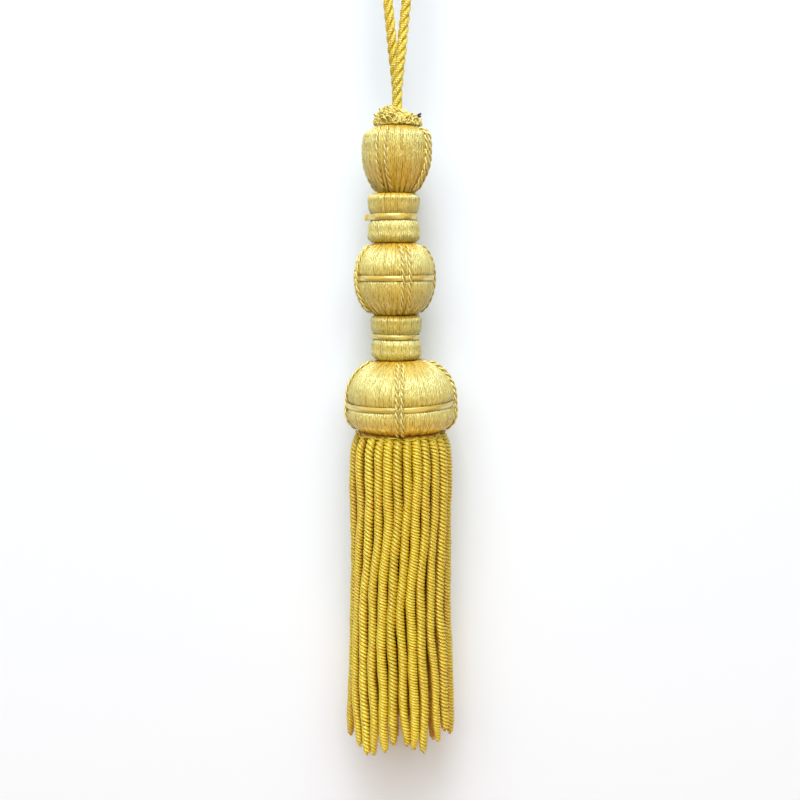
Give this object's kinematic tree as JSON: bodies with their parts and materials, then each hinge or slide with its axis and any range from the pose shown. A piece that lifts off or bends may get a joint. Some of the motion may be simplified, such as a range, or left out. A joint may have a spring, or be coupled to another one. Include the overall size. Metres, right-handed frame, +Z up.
{
  "type": "tassel",
  "caption": "Long silk tassel hanging by a twisted cord loop, with a looped ruff, covered turned balls and necks, ribbons, sewn-down cords, a wide bell and a bullion skirt.",
  "frame": {"origin": "inside of the top of the hanging loop, where the tassel hangs from whatever the loop goes over", "axes": "+Z up along the hanging tassel, -Y towards the front, +X to the right seen from the front"},
  "size_m": [0.044, 0.044, 0.3279],
  "materials": {
    "cord_gold": "twisted silk cord, soft sheen",
    "head_satin": "fine satin floss wound over a mould",
    "laid_satin": "fine twisted silk cords, sewn down",
    "ribbon_gold": "smooth flat silk ribbon",
    "gimp_gold": "crimped gimp thread",
    "skirt_gold": "twisted bullion yarn, satin"
  },
  "bodies": {
    "root": {"hanging_cord": "cord_gold", "ruff": "gimp_gold", "top_ball": "head_satin", "top_ball_cords_1": "laid_satin", "top_ball_cords_2": "laid_satin", "top_ball_cords_3": "laid_satin", "top_ball_cords_4": "laid_satin", "upper_neck": "head_satin", "upper_neck_ribbon": "ribbon_gold", "middle_ball": "head_satin", "middle_ball_ribbon": "ribbon_gold", "middle_ball_cords_1": "laid_satin", "middle_ball_cords_2": "laid_satin", "middle_ball_cords_3": "laid_satin", "middle_ball_cords_4": "laid_satin", "lower_neck": "head_satin", "lower_neck_ribbon": "ribbon_gold", "bell": "head_satin", "bell_ribbon": "ribbon_gold", "bell_cords_1": "laid_satin", "bell_cords_2": "laid_satin", "bell_cords_3": "laid_satin", "bell_cords_4": "laid_satin", "skirt": "skirt_gold"}
  },
  "joints": []
}
